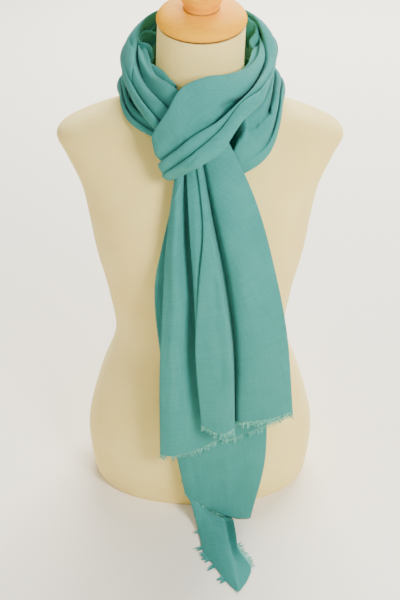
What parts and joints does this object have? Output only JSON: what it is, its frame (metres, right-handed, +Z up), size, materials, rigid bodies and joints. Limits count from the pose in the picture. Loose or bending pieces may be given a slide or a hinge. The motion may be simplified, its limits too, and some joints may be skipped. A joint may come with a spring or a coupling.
{
  "type": "wool scarf on a dress form",
  "caption": "Large woven wool scarf, folded double and slip-knotted round the neck of a limbless dress form, with two frayed tails hanging in front.",
  "frame": {"origin": "centre of the dress form's flat base, on the surface that it stands on", "axes": "+Z up, -Y the front, where the knot and the tails are, +X to the right of someone who looks at the front"},
  "size_m": [0.368, 0.4007, 0.7525],
  "materials": {
    "wool": "plain woven wool, matt with a slight nap",
    "jersey": "cream cotton jersey stretched over a padded form",
    "wood": "turned hardwood, satin varnish"
  },
  "bodies": {
    "root": {"form_bust": "jersey", "neck_cap": "wood", "neck_knob": "wood", "upper_knot_front": "wool", "upper_nape": "wool", "upper_left_strand": "wool", "lower_knot_back": "wool", "lower_nape": "wool", "lower_left_strand": "wool", "front_tail": "wool", "back_tail": "wool", "tail_end": "wool", "fringe_back_layer": "wool", "fringe_right_panel": "wool", "fringe_middle_panel": "wool", "fringe_back_tail": "wool", "fringe_end_right": "wool", "fringe_end_left": "wool"}
  },
  "joints": []
}
